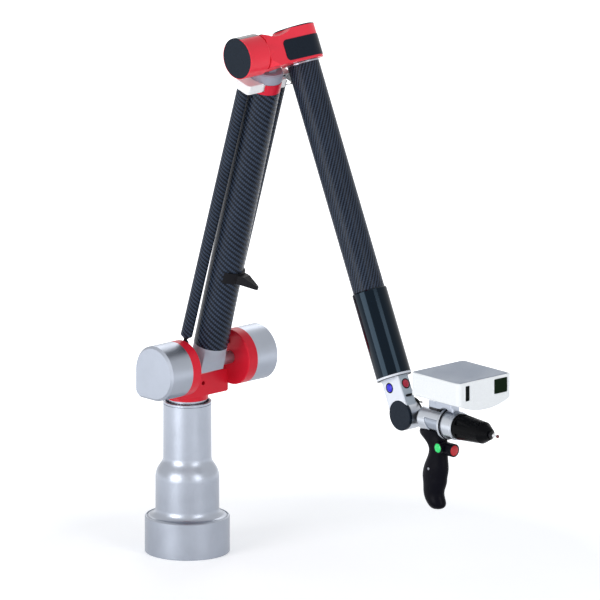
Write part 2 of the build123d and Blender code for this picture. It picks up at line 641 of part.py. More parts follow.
wrist_from_elbow = hypot(wrist.X - elbow.X, wrist.Z - elbow.Z)
key_radius = 6.95
key_hole = key_radius + RUNNING
blue_place = (-5.2, 15.6441 - fork_reach)
red_ahead = FORE.origin + fore_dir * (ring_end + 16.6)
RED_KEY = Plane(origin=red_ahead + Vector(0, 1.0, 0), x_dir=(0, 1, 0), z_dir=fore_front)
with BuildPart() as wrist_fork:
    with BuildSketch(FORE.offset(ring_end)):
        with Locations((fork_shift, 0)):
            RectangleRounded(2 * fork_half_width, 2 * fork_half_thick, 3.5)
    extrude(amount=wrist_from_elbow - ring_end + 8)
    add(disc(FORE, 19.95, ring_end - 16, ring_end + 1))
    add(disc(WRIST, drum_radius, drum_front - 9.3, drum_back + 12), mode=Mode.SUBTRACT)
    add(disc(FORE, 8.0, ring_end - 18, ring_end + 34), mode=Mode.SUBTRACT)
    add(disc(WRIST, key_hole, fork_face - 4.7, fork_face + 4.9, at=blue_place),
        mode=Mode.SUBTRACT)
    add(disc(RED_KEY, key_hole, fork_half_width - 5.1, fork_half_width + 6.5),
        mode=Mode.SUBTRACT)

wrist_seat = 16.0
wrist_radius = 8.0
wrist_fit = wrist_radius - RUNNING
with BuildPart() as wrist_drum:
    add(turned(WRIST, [(wrist_seat, cap_back), (drum_radius, cap_back),
                       (drum_radius, drum_back - 0.8), (drum_radius - 0.8, drum_back),
                       (wrist_seat, drum_back)]))

with BuildPart() as wrist_bearings:
    add(ring(WRIST, wrist_seat, wrist_radius, cap_back + 1.9, cap_back + 8.9))
    add(ring(WRIST, wrist_seat, wrist_radius, drum_back - 8, drum_back - 1))

with BuildPart() as wrist_cap:
    add(turned(WRIST, [(0, drum_front), (drum_radius - 0.9, drum_front),
                       (drum_radius, drum_front + 0.9),
                       (drum_radius, cap_back), (0, cap_back)]))

with BuildPart() as fork_button_blue:
    add(disc(WRIST, key_radius, fork_face - 1.3, fork_face + 3.5, at=blue_place))

with BuildPart() as fork_button_red:
    add(disc(RED_KEY, key_radius, fork_half_width - 3.7, fork_half_width + 1.4))

# Wrist: cam plate, hinge shaft and the lug that carries the handle's spindle.
pilot_radius = 6.5
with BuildPart() as wrist_rotor:
    add(ring(WRIST, drum_radius - 0.7, pilot_radius, drum_back + 0.3, drum_back + 4))
    add(bar(HANDLE, drum_back + 0.3 - handle_y, drum_back + 4 - handle_y, -12, 12,
            wrist.X - 2.9, barrel_back - 0.4))
    add(disc(HANDLE, 12.0, barrel_back - 9.2, barrel_back - 0.4))
    add(disc(HANDLE, wrist_fit, barrel_back - 1, barrel_back + 41))
    add(disc(WRIST, pilot_radius, drum_back - 8, drum_back + 12), mode=Mode.SUBTRACT)

with BuildPart() as wrist_shaft:
    add(disc(WRIST, wrist_fit, cap_back + 0.9, drum_back + 0.3))
    add(disc(WRIST, pilot_radius, drum_back + 0.3, drum_back + 4.5))

# Handle: barrel with its ring, nose and probe; pistol grip; line scanner on top.
head_radius = barrel_radius + 3.5
grip_seat = 5.3 - barrel_radius
with BuildPart() as handle_barrel:
    add(turned(HANDLE, [(wrist_radius, barrel_back), (barrel_radius - 3, barrel_back),
                        (barrel_radius - 0.7, barrel_back + 1.2),
                        (barrel_radius, barrel_back + 4), (barrel_radius, lip_x - 2),
                        (wrist_radius, lip_x - 2)]))
    add(turned(HANDLE, [(wrist_radius, lip_x + 5), (head_radius, lip_x + 5),
                        (head_radius, nose_back - 5), (head_radius - 0.8, nose_back - 4),
                        (head_radius - 0.8, nose_back), (wrist_radius, nose_back)]))
    add(ring(HANDLE, 20, wrist_radius, lip_x - 3, lip_x + 6))
    add(disc(HANDLE, wrist_radius, barrel_back - 19, barrel_back + 46), mode=Mode.SUBTRACT)
    add(disc(HANDLE, barrel_radius - 5, barrel_back + 6, barrel_back + 34),
        mode=Mode.SUBTRACT)
    add(disc(HANDLE, barrel_radius - 5, barrel_back + 44, lip_x), mode=Mode.SUBTRACT)
    add(disc(HANDLE, head_radius - 4.5, lip_x + 5, nose_back - 4), mode=Mode.SUBTRACT)
    add(disc(HANDLE, barrel_radius - 5, lip_x - 1, lip_x + 6), mode=Mode.SUBTRACT)
    add(bar(HANDLE, -30, 30, -30, grip_seat, barrel_back - 19, lip_x - 2),
        mode=Mode.SUBTRACT)

lip_radius = head_radius + 3.2
with BuildPart() as barrel_ring:
    add(turned(HANDLE, [(20, lip_x - 2), (lip_radius - 1, lip_x - 2), (lip_radius, lip_x - 1),
                        (lip_radius, lip_x + 2), (lip_radius - 0.8, lip_x + 2.6),
                        (head_radius + 0.4, lip_x + 2.6), (head_radius + 0.4, lip_x + 5),
                        (20, lip_x + 5)]))

nose_front = nose_back + 75.0
flute_circle = head_radius + 0.2
with BuildPart() as probe_nose:
    with BuildSketch(HANDLE.offset(nose_back)):
        Circle(head_radius - 2)
    with BuildSketch(HANDLE.offset(nose_back + 58)):
        Circle(19.0)
    loft()
    with BuildSketch(HANDLE.offset(nose_back + 58)):
        Circle(19.0)
    with BuildSketch(HANDLE.offset(nose_front)):
        Circle(9.5)
    loft()
    for lobe in range(6):
        turn = radians(60 * lobe + 30)
        place = (flute_circle * cos(turn), flute_circle * sin(turn))
        add(disc(HANDLE, 5.0, nose_back + 6, nose_front + 5, at=place), mode=Mode.SUBTRACT)
    add(disc(HANDLE, 4.0, nose_front - 25, nose_front + 5), mode=Mode.SUBTRACT)

ball_radius = 3.0
ball_x = nose_front + 17.8
with BuildPart() as stylus:
    add(turned(HANDLE, [(0, nose_front - 23), (4.0, nose_front - 23), (4.0, nose_front),
                        (6.5, nose_front), (6.5, nose_front + 3), (2.0, nose_front + 9.5),
                        (1.2, nose_front + 11), (1.2, ball_x - 1.8), (0, ball_x - 1.8)]))
    with Locations((ball_x, handle_y, handle_z)):
        Sphere(ball_radius, mode=Mode.SUBTRACT)

with BuildPart() as ruby_ball:
    with Locations((ball_x, handle_y, handle_z)):
        Sphere(ball_radius)

grip_wall = 3.0
# From the butt to the barrel: depth under the handle's axis, middle behind the barrel's start,
# half length and half width.
grip_sections = [(154.8, 31.0, 7, 6), (151.9, 30.6, 14.5, 11), (147.4, 29.8, 18.0, 13.6),
                 (136.4, 24.7, 20.4, 15), (119.4, 23.5, 22.2, 15.6), (101.4, 25.2, 25.7, 16.5),
                 (82.9, 28.6, 25.8, 16.5), (68.4, 31.5, 21.6, 15.4), (53.4, 33.8, 18.4, 14.4),
                 (33.4, 26.0, 26.0, 15), (-grip_seat, 24.0, 27, 15.5)]
key_x = barrel_back + 51.0
with BuildPart() as grip_hollow:
    for depth, middle, half_length, half_width in grip_sections[3:9]:
        with BuildSketch(Plane.XY.offset(handle_z - depth)):
            with Locations((barrel_back + middle, handle_y)):
                Ellipse(half_length - grip_wall, half_width - grip_wall)
    loft()
    add(bar(Plane.XY, key_x - 10, key_x + 30, handle_y - 25, handle_y + 25, handle_z - 62.4,
            handle_z - 9.4), mode=Mode.SUBTRACT)

with BuildPart() as grip_whole:
    for depth, middle, half_length, half_width in grip_sections:
        with BuildSketch(Plane.XY.offset(handle_z - depth)):
            with Locations((barrel_back + middle, handle_y)):
                Ellipse(half_length, half_width)
    loft()
    add(grip_hollow.part, mode=Mode.SUBTRACT)
    button_red = Plane(origin=(0, handle_y, handle_z - 45.4), x_dir=(0, 1, 0),
                       z_dir=(1, 0, 0))
    with BuildSketch(button_red.offset(key_x)):
        Circle(11.5)
    extrude(amount=23)
    button_green = Plane(origin=(key_x, 0, handle_z - 42.4), x_dir=(1, 0, 0),
                         z_dir=(0, 1, 0))
    with BuildSketch(button_green.offset(handle_y - 17.3)):
        Circle(10.5)
    extrude(amount=14)
    add(disc(HANDLE, lip_radius + 0.2, lip_x - 2.2, lip_x + 61), mode=Mode.SUBTRACT)
    add(disc(button_red, 9.0, key_x + 17, key_x + 30), mode=Mode.SUBTRACT)
    add(disc(button_green, 8.0, handle_y - 25.5, handle_y - 12.5), mode=Mode.SUBTRACT)

with BuildPart() as grip_left:
    add(grip_whole.part)
    split(bisect_by=Plane.XZ.offset(-handle_y), keep=Keep.TOP)

with BuildPart() as grip_right:
    add(grip_whole.part)
    split(bisect_by=Plane.XZ.offset(-handle_y), keep=Keep.BOTTOM)

with BuildPart() as grip_button_red:
    add(disc(button_red, 9.0 - RUNNING, key_x + 18.6, key_x + 25))

with BuildPart() as grip_button_green:
    add(disc(button_green, 8.0 - RUNNING, handle_y - 18.9, handle_y - 14.1))

# Line scanner: white case with a convex belly and a grey cover.
case_length = 123.4
case_half_width = 61.5
case_wall_height = 38.8
belly_drop = 14.5
case_back = barrel_back + 29.6
case_front = case_back + case_length
case_left = handle_y - case_half_width
case_right = handle_y + case_half_width
case_side = handle_z + 56.6
case_top = case_side + case_wall_height
belly = case_side - belly_drop
with BuildPart() as case_block:
    with BuildSketch(Plane.YZ.offset(case_back)):
        with BuildLine():
            Polyline((case_left, case_side), (case_left, case_top), (case_right, case_top),
                     (case_right, case_side))
            ThreePointArc((case_right, case_side), (handle_y, belly), (case_left, case_side))
        make_face()
    extrude(amount=case_front - case_back)
    upright = edges().filter_by(Axis.Z)
    fillet(upright, 9)

# Laser and camera windows: Y from and to, Z from and to, corner radius.
window_frames = [(case_left + 15.6, case_left + 25.1, case_top - 32.1, case_top - 5.3, 1.5),
                 (case_right - 41.2, case_right - 10.7, case_top - 30.4, case_top - 4.3, 2)]
with BuildPart() as scanner_case:
    add(case_block.part)
    with BuildSketch(Plane.YZ.offset(case_back + 3.5)):
        with BuildLine():
            Polyline((case_left + 5.5, case_side + 2.4), (case_left + 5.5, case_top + 1),
                     (case_right - 5.5, case_top + 1), (case_right - 5.5, case_side + 2.4))
            ThreePointArc((case_right - 5.5, case_side + 2.4), (handle_y, belly + 2.5),
                          (case_left + 5.5, case_side + 2.4))
        make_face()
    extrude(amount=case_front - case_back - 7, mode=Mode.SUBTRACT)
    add(bar(Plane.XY, case_back + 2, case_front - 6, case_left + 3, case_right - 3,
            case_top - 3, case_top + 1, 7), mode=Mode.SUBTRACT)
    for low, high, bottom, top, corner in window_frames:
        add(bar(Plane.YZ, low, high, bottom, top, case_front - 12, case_front + 8, corner),
            mode=Mode.SUBTRACT)

with BuildPart() as scanner_cover:
    add(bar(Plane.XY, case_back + 2.05, case_front - 6.05, case_left + 3.05, case_right - 3.05,
            case_top - 3, case_top + 0.3, 7))
    chamfer(faces().sort_by(Axis.Z)[-1].edges(), 0.5)

with BuildPart() as scanner_windows:
    for low, high, bottom, top, corner in window_frames:
        add(bar(Plane.YZ, low + RUNNING, high - RUNNING, bottom + RUNNING, top - RUNNING,
                case_front - 3.8, case_front - 1, corner))

with BuildPart() as scanner_bracket:
    add(bar(Plane.XY, barrel_back + 17, lip_x + 20, handle_y - 8, handle_y + 8,
            handle_z + 18.6, handle_z + 34.6, 3))
    add(bar(Plane.XY, barrel_back + 37, lip_x + 20, handle_y - 12, handle_y + 12,
            handle_z + 30.6, belly + 8.5, 3))
    add(disc(HANDLE, barrel_radius, barrel_back - 19, lip_x - 2), mode=Mode.SUBTRACT)
    add(disc(HANDLE, lip_radius + 0.1, lip_x - 2.1, lip_x + 5), mode=Mode.SUBTRACT)
    add(disc(HANDLE, head_radius + RUNNING, lip_x, lip_x + 41), mode=Mode.SUBTRACT)
    add(case_block.part, mode=Mode.SUBTRACT)

pieces = {
    "base_foot": base_foot,
    "base_column": base_column,
    "neck_ring": neck_ring,
    "swivel_bearings": swivel_bearings,
    "base_screws": base_screws,
    "rear_sockets": rear_sockets,
    "power_button": power_button,
    "swivel_shaft": swivel_shaft,
    "base_encoder_disc": base_encoder_disc,
    "shoulder_yoke": shoulder_yoke,
    "shoulder_drum_left": shoulder_drum_left,
    "shoulder_drum_right": shoulder_drum_right,
    "shoulder_bearings": shoulder_bearings,
    "strut_pins": strut_pins,
    "trunnion": trunnion,
    "shoulder_shaft": shoulder_shaft,
    "shoulder_encoder_disc": shoulder_encoder_disc,
    "upper_tube": upper_tube,
    "upper_collar": upper_collar,
    "top_casting": top_casting,
    "upper_bearings": upper_bearings,
    "parking_rest": parking_rest,
    "elbow_stem": elbow_stem,
    "elbow_shaft": elbow_shaft,
    "elbow_housing": elbow_housing,
    "elbow_cap": elbow_cap,
    "elbow_top_plate": elbow_top_plate,
    "elbow_panel": elbow_panel,
    "elbow_bearings": elbow_bearings,
    "forearm_spindle": forearm_spindle,
    "forearm_tube": forearm_tube,
    "grip_sleeve": grip_sleeve,
    "sleeve_ring": sleeve_ring,
    "wrist_fork": wrist_fork,
    "wrist_drum": wrist_drum,
    "wrist_bearings": wrist_bearings,
    "wrist_cap": wrist_cap,
    "fork_button_blue": fork_button_blue,
    "fork_button_red": fork_button_red,
    "wrist_rotor": wrist_rotor,
    "wrist_shaft": wrist_shaft,
    "handle_barrel": handle_barrel,
    "barrel_ring": barrel_ring,
    "probe_nose": probe_nose,
    "stylus": stylus,
    "ruby_ball": ruby_ball,
    "grip_left": grip_left,
    "grip_right": grip_right,
    "grip_button_red": grip_button_red,
    "grip_button_green": grip_button_green,
    "scanner_case": scanner_case,
    "scanner_cover": scanner_cover,
    "scanner_windows": scanner_windows,
    "scanner_bracket": scanner_bracket,
}
for label, piece in pieces.items():
    piece.part.label = label
    export_step(piece.part, "parts/" + label + ".step")
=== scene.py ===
import math

import bpy
import numpy as np
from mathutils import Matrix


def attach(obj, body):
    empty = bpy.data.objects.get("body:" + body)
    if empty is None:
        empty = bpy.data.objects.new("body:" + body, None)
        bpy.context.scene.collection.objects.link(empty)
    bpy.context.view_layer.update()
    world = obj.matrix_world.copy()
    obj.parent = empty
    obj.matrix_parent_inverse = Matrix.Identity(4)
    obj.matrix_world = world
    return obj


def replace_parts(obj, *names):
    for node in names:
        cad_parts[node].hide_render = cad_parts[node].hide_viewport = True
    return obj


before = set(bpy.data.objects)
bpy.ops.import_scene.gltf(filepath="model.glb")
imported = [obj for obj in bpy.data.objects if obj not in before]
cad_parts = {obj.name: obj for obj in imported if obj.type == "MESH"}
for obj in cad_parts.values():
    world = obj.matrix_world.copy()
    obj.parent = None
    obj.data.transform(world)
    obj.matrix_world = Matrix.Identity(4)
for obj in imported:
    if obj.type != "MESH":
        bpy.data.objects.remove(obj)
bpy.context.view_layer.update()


# Stand. The foot and the column are turned steel, screwed together from below, and stand
# on the table by their own weight. A separate ring closes the neck under the swivel.
class Value:
    """A number or colour travelling through a material. Arithmetic on it lays down Math nodes."""

    def __init__(self, shade, socket):
        self.shade = shade
        self.socket = socket

    def math(self, operation, *others):
        return self.shade.node("ShaderNodeMath", self, *others, operation=operation)

    def __add__(self, other):
        return self.math("ADD", other)

    def __radd__(self, other):
        return self.math("ADD", other)

    def __sub__(self, other):
        return self.math("SUBTRACT", other)

    def __rsub__(self, other):
        return self.shade.node("ShaderNodeMath", other, self, operation="SUBTRACT")

    def __mul__(self, other):
        return self.math("MULTIPLY", other)

    def __rmul__(self, other):
        return self.math("MULTIPLY", other)

    def __truediv__(self, other):
        return self.math("DIVIDE", other)

    def __rtruediv__(self, other):
        return self.shade.node("ShaderNodeMath", other, self, operation="DIVIDE")

    def fit(self, low, high, to_low=0.0, to_high=1.0):
        """The value carried from low..high to to_low..to_high, held at the ends."""
        return self.shade.node("ShaderNodeMapRange", self, low, high, to_low, to_high)

    def blend(self, first, second):
        """The first colour where this value is 0, the second where it is 1."""
        mixer = self.shade.tree.nodes.new("ShaderNodeMix")
        mixer.data_type = "RGBA"
        self.shade.feed(mixer.inputs[0], self)
        self.shade.feed(mixer.inputs[6], first)
        self.shade.feed(mixer.inputs[7], second)
        return Value(self.shade, mixer.outputs[2])


class Shade:
    """A material under construction: one surface fed by Values."""

    def __init__(self, name):
        self.material = bpy.data.materials.new(name)
        self.material.use_nodes = True
        self.tree = self.material.node_tree
        self.tree.nodes.clear()
        self.surface = self.tree.nodes.new("ShaderNodeBsdfPrincipled")
        output = self.tree.nodes.new("ShaderNodeOutputMaterial")
        self.tree.links.new(self.surface.outputs[0], output.inputs[0])

    def feed(self, socket, value):
        if isinstance(value, Value):
            self.tree.links.new(value.socket, socket)
        elif isinstance(value, tuple) and len(value) == 3 and socket.type == "RGBA":
            socket.default_value = (*value, 1.0)
        else:
            socket.default_value = value

    def node(self, kind, *values, out=0, named=None, **settings):
        """Any other node: values go to its sockets in order, named ones by name."""
        made = self.tree.nodes.new(kind)
        for key, setting in settings.items():
            setattr(made, key, setting)
        for socket, value in zip(made.inputs, values):
            if value is not None:
                self.feed(socket, value)
        for key, value in (named or {}).items():
            self.feed(made.inputs[key], value)
        return Value(self, made.outputs[out])

    def place(self):
        return self.node("ShaderNodeTexCoord", out=3)

    def noise(self, where, scale, detail=2.0, roughness=0.5):
        return self.node("ShaderNodeTexNoise", where, named={
            "Scale": scale, "Detail": detail, "Roughness": roughness})

    def along(self, where, axis, origin=(0.0, 0.0, 0.0)):
        """How far a place lies from the origin along an axis, in metres."""
        moved = self.node("ShaderNodeVectorMath", where, origin, operation="SUBTRACT")
        return self.node("ShaderNodeVectorMath", moved, axis, out=1, operation="DOT_PRODUCT")

    def finish(self, colour, roughness, metallic=0.0, height=None, depth=0.0002, shine=0.5):
        """Shine is how strongly a bare plastic or paint mirrors, 0.5 being usual."""
        self.surface.inputs["Specular IOR Level"].default_value = shine
        self.feed(self.surface.inputs["Base Color"], colour)
        self.feed(self.surface.inputs["Roughness"], roughness)
        self.feed(self.surface.inputs["Metallic"], metallic)
        if height is not None:
            bump = self.node("ShaderNodeBump", named={
                "Strength": 1.0, "Distance": depth, "Height": height})
            self.feed(self.surface.inputs["Normal"], bump)
        return self.material


def wear(material, *names):
    """Puts the material on CAD nodes whose own shape is kept."""
    for name in names:
        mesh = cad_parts[name].data
        mesh.materials.clear()
        mesh.materials.append(material)


def turned_metal(name, colour, axis, origin, roughness=0.32, pitch=0.0006, depth=0.00001):
    """Satin turned metal: fine tool rings along the axis, faint handling marks over them."""
    shade = Shade(name)
    where = shade.place()
    rings = (shade.along(where, axis, origin) * (2 * math.pi / pitch)).math("SINE")
    wander = shade.noise(where, 900.0, 2.0)
    smudge = shade.noise(where, 14.0, 4.0, 0.6)
    tone = smudge.fit(0.35, 0.7)
    pale = tuple(min(1.0, c * 1.05) for c in colour)
    dark = tuple(c * 0.93 for c in colour)
    rough = smudge.fit(0.3, 0.75, roughness * 0.85, roughness * 1.2) + wander * 0.04
    return shade.finish(tone.blend(dark, pale), rough, 1.0, rings * 0.5 + wander, depth)


silver = (0.37, 0.40, 0.46)
upwards = (0.0, 0.0, 1.0)
foot_middle = (0.0, 0.0, 0.0)
wear(turned_metal("stand_steel", silver, upwards, foot_middle, 0.34), "base_foot",
     "base_column", "neck_ring")


# Back of the stand. The power inlet and the data socket are black mouldings let into a flat of
# the column, and the switch is a moulded push button beside them.
def moulded(name, colour, roughness=0.5, grain=1500.0, depth=0.00004, shine=0.1):
    """Moulded plastic: the mould's spark texture, and a little sheen where hands polish it."""
    shade = Shade(name)
    where = shade.place()
    spark = shade.noise(where, grain, 3.0, 0.6)
    rub = shade.noise(where, 25.0, 3.0)
    dark = tuple(c * 0.85 for c in colour)
    pale = tuple(min(1.0, c * 1.15) for c in colour)
    rough = rub.fit(0.35, 0.7, roughness * 0.8, roughness * 1.1)
    return shade.finish(spark.fit(0.35, 0.65).blend(dark, pale), rough, 0.0, spark, depth,
                        shine)


soft_black = (0.012, 0.012, 0.014)
wear(moulded("socket_plastic", soft_black, 0.45), "rear_sockets", "power_button")

# Inside the stand. Ground steel screws hold foot and column together, two ball bearings
# carry the swivel, and a glass disc with ruled lines reads how far it has turned.
bright_steel = (0.66, 0.66, 0.67)
ground_steel = turned_metal("ground_steel", bright_steel, upwards, foot_middle, 0.2)
wear(ground_steel, "swivel_bearings", "base_screws")


def ruled_glass(name, first, second, origin, lines=360):
    """Encoder glass: dark radial lines, as many as given, on a pale mirror coating. The lines
    are counted by the turn from the first direction to the second about the origin."""
    shade = Shade(name)
    where = shade.place()
    turn = shade.along(where, second, origin).math("ARCTAN2", shade.along(where, first, origin))
    line = (turn * float(lines)).math("SINE").fit(-0.2, 0.2)
    film = shade.noise(where, 60.0, 2.0)
    dark_line = (0.03, 0.035, 0.04)
    coating = (0.55, 0.58, 0.60)
    return shade.finish(line.blend(dark_line, coating), film * 0.1 + 0.06, 0.0, film, 0.000004)


along_x = (1.0, 0.0, 0.0)
across = (0.0, 1.0, 0.0)
wear(ruled_glass("base_code", along_x, across, foot_middle), "base_encoder_disc")


# Swivel. A silver flange carries the yoke, a red painted casting with two cheeks, and a
# tapped hole in its front.
def painted(name, colour, roughness=0.34, grain=420.0, depth=0.00002, shine=0.2):
    """Sprayed paint: orange peel under a clear gloss, slightly uneven in tone."""
    shade = Shade(name)
    where = shade.place()
    peel = shade.noise(where, grain, 1.5)
    drift = shade.noise(where, 9.0, 3.0)
    dark = tuple(c * 0.94 for c in colour)
    pale = tuple(min(1.0, c * 1.05) for c in colour)
    rough = drift.fit(0.3, 0.7, roughness * 0.85, roughness * 1.15)
    return shade.finish(drift.fit(0.3, 0.7).blend(dark, pale), rough, 0.0, peel, depth, shine)


deep_red = (0.72, 0.014, 0.034)
wear(turned_metal("flange_alloy", silver, upwards, foot_middle, 0.25), "swivel_shaft")
wear(painted("yoke_red", deep_red), "shoulder_yoke")

# Shoulder. The drums are turned aluminium covers outside the cheeks, with a flat underside
# and a bevelled rim, over the bearings and the second ruled disc.
shoulder = (0.0492, 0.0, 0.3412)
drum_alloy = turned_metal("drum_alloy", silver, across, shoulder, 0.36)
wear(drum_alloy, "shoulder_drum_left", "shoulder_drum_right", "shoulder_bearings",
     "shoulder_shaft")
wear(ruled_glass("shoulder_code", along_x, upwards, shoulder), "shoulder_encoder_disc")
wear(moulded("pin_black", soft_black, 0.35), "strut_pins")


# Upper arm tube. Twill carbon cloth is rolled into the tube and lacquered; it stands in a
# light grey casting that turns between the cheeks.
tow_fall = 3.2
fibre_count = 62.0
fibre_height = 0.06
cells_below = 4000.0
painted_tow_shade = (0.0008, 0.0015, 0.0035)
painted_tow_sheen = (0.042, 0.060, 0.098)
tow_depth = 0.00012


def carbon(name, origin, axis, front, side, radius, round_tow, long_tow):
    """Twill carbon round a tube: tows run along and round it, each over two and under two.

    The cell of a place is its arc length and its height, in tow widths. Where the numbers of
    the cell add to 0 or 1 of 4, the lengthwise tow is on top, else the crosswise one. A tow's
    height is 1 less the fall times the square of the distance from its middle. Cells are
    counted from well below the tube, so that no number is below zero. The weave is real, and
    its colour is painted sheen and painted shade: a lengthwise tow on top is painted brightest
    at its crown and dark at its edges, and a crosswise tow on top is painted dark.
    """
    shade = Shade(name)
    where = shade.place()
    forward = shade.along(where, front, origin)
    sideways = shade.along(where, side, origin)
    turn = sideways.math("ARCTAN2", forward)
    count = round(2 * math.pi * radius / round_tow / 4) * 4
    u = turn * (count / (2 * math.pi)) + count * 2.0
    v = shade.along(where, axis, origin) / long_tow + cells_below
    cell = u.math("FLOOR") + v.math("FLOOR")
    on_top = cell.math("MODULO", 4.0).math("LESS_THAN", 1.5)
    fu = u.math("FRACT") - 0.5
    fv = v.math("FRACT") - 0.5
    over_u = 1.0 - (fu * fu) * tow_fall
    over_v = 1.0 - (fv * fv) * tow_fall
    fibre_u = (u * fibre_count).math("SINE") * fibre_height
    fibre_v = (v * fibre_count).math("SINE") * fibre_height
    height = on_top * (over_u + fibre_u) + (1.0 - on_top) * (over_v + fibre_v)
    blotch = shade.noise(where, 30.0, 2.0)
    # Painted sheen and painted shade: bright on the crowns of lengthwise tows, dark on their edges and
    # on crosswise tows.
    tone = on_top * over_u * 0.8 + blotch * 0.2
    return shade.finish(tone.blend(painted_tow_shade, painted_tow_sheen), on_top * 0.12 + 0.26, 0.0, height,
                        tow_depth, 0.12)


lean = math.radians(15.69)
tube_axis = (math.sin(lean), 0.0, math.cos(lean))
tube_front = (math.cos(lean), 0.0, -math.sin(lean))
upper_radius = 0.0293
upper_tows = (0.0036, 0.00225)
casting_grey = (0.42, 0.46, 0.53)
wear(carbon("upper_carbon", shoulder, tube_axis, tube_front, across, upper_radius, *upper_tows),
     "upper_tube")
wear(painted("trunnion_grey", casting_grey, 0.42, 900.0), "trunnion")

# Top of the upper arm. A white casting is bolted to the tube and holds the struts in its
# two ears, and a red collar closes the tube over the ball bearings of the roll joint. A black
# moulded fin on the tube parks the forearm.
wear(painted("collar_red", (0.60, 0.012, 0.035)), "upper_collar")
wear(painted("ear_white", (0.90, 0.91, 0.92), 0.5), "top_casting")
wear(moulded("rest_black", (0.006, 0.006, 0.008), 0.5), "parking_rest")
wear(ground_steel, "upper_bearings")

# Counterbalance struts. Carbon sleeves slide over silver rods, which hang from the ears of the
# casting above, and black ball ends sit on pins beside the cheeks.
strut_low = np.array((0.0410, 0.0, 0.3800))
strut_high = np.array((0.1917, 0.0, 0.8651))
strut_aside = 0.0439
strut_radius = 0.01025
strut_tows = (0.0027, 0.0018)
strut_axis = tuple((strut_high - strut_low) / np.linalg.norm(strut_high - strut_low))
strut_front = (strut_axis[2], 0.0, -strut_axis[0])
for hand, name in ((-1, "left"), (1, "right")):
    strut_foot = (strut_low[0], hand * strut_aside, strut_low[2])
    wear(carbon("strut_carbon_" + name, strut_foot, strut_axis, strut_front, across,
                strut_radius, *strut_tows), "strut_sleeve_" + name)
    wear(turned_metal("strut_silver_" + name, silver, strut_axis, strut_foot, 0.25),
         "strut_rod_" + name)
    wear(moulded("ball_black_" + name, soft_black, 0.3), "strut_end_" + name)

# Elbow stem. The roll joint ends in a grey painted head with the tongue of the hinge, and a
# ground shaft passes through it, carried by ball bearings.
link = 0.6
elbow = (shoulder[0] + link * tube_axis[0], 0.0, shoulder[2] + link * tube_axis[2])
wear(painted("stem_grey", (0.30, 0.31, 0.38), 0.35), "elbow_stem")
wear(turned_metal("shaft_steel", bright_steel, across, elbow, 0.2), "elbow_shaft")
wear(ground_steel, "elbow_bearings")

# Elbow housing. One red painted casting, with dark slate covers: a disc let into the left
# drum, a panel wrapped round the right block and a plate on its top, with its dark gasket.
fore_axis = (0.4126, 0.0, -0.9109)
fore_front = (0.9109, 0.0, 0.4126)
fore_top = (elbow[0], 0.0623, elbow[2])
dull_red = (0.836, 0.0342, 0.0589)
fresh_red = (0.93, 0.044, 0.074)
slate = (0.010, 0.016, 0.026)
housing_seam = -0.0289
shade = Shade("housing_red")
where = shade.place()
peel = shade.noise(where, 420.0, 1.5)
drift = shade.noise(where, 9.0, 3.0)
gasket = shade.along(where, fore_axis, fore_top).math("LESS_THAN", housing_seam)
paint = drift.fit(0.3, 0.7).blend(dull_red, fresh_red)
wear(shade.finish(gasket.blend(paint, slate), drift.fit(0.3, 0.7, 0.28, 0.38), 0.0, peel,
                  0.00002, 0.2), "elbow_housing")
cap_slate = moulded("cap_slate", slate, 0.3, 900.0, 0.00001, 0.08)
wear(cap_slate, "elbow_cap", "elbow_panel", "elbow_top_plate")

# Forearm tube. The same carbon cloth with a finer lengthwise tow, on a silver spindle that
# turns inside the elbow's block.
fore_radius = 0.0278
fore_tows = (0.0015, 0.0026)
wear(carbon("fore_carbon", fore_top, fore_axis, fore_front, across, fore_radius, *fore_tows),
     "forearm_tube")
wear(turned_metal("spindle_alloy", silver, fore_axis, fore_top, 0.25), "forearm_spindle")


# Grip sleeve. A gloss black tube is shrunk over the forearm's lower end, closed by a white
# ring, with a black gasket between the ring and the fork.
def solid(name, grids, material, body):
    """One closed mesh piece made of skins. A skin is a grid of points, rows by columns by 3.

    Columns go round and join up. Where the first and last rows are the same, the rows join
    up too, as on a ring; otherwise each end closes on a point at the mean of its row. A skin's
    volume is a sixth of the sum, over its triangles, of the first corner dotted with the cross
    product of the other two, and where that is below zero its faces are turned round.
    """
    corners = []
    faces = []
    base = 0
    for grid in grids:
        grid = np.asarray(grid, dtype=float)
        ring = np.allclose(grid[0], grid[-1], atol=1e-9)
        if ring:
            grid = grid[:-1]
        rows, columns = grid.shape[:2]
        index = np.arange(rows * columns).reshape(rows, columns)
        after = np.roll(index, -1, axis=1)
        span = rows if ring else rows - 1
        quads = np.stack([index[:span], after[:span], np.roll(after, -1, axis=0)[:span],
                          np.roll(index, -1, axis=0)[:span]], axis=-1).reshape(-1, 4)
        points = grid.reshape(-1, 3)
        ends = np.empty((0, 3), dtype=int)
        if not ring:
            points = np.vstack([points, grid[0].mean(axis=0), grid[-1].mean(axis=0)])
            pole = np.full(columns, rows * columns)
            ends = np.vstack([np.stack([pole, after[0], index[0]], axis=-1),
                              np.stack([pole + 1, index[-1], after[-1]], axis=-1)])
        triangles = np.vstack([quads[:, (0, 1, 2)], quads[:, (0, 2, 3)], ends])
        a, b, c = (points[triangles[:, k]] for k in range(3))
        if np.sum(a * np.cross(b, c)) < 0:
            quads = quads[:, ::-1]
            ends = ends[:, ::-1]
        corners.append(points)
        faces += (quads + base).tolist() + (ends + base).tolist()
        base += len(points)
    mesh = bpy.data.meshes.new(name)
    mesh.from_pydata(np.vstack(corners).tolist(), [], faces)
    mesh.shade_smooth()
    mesh.set_sharp_from_angle(angle=math.radians(38))
    mesh.materials.append(material)
    made = bpy.data.objects.new(name, mesh)
    bpy.context.collection.objects.link(made)
    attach(made, body)
    return made


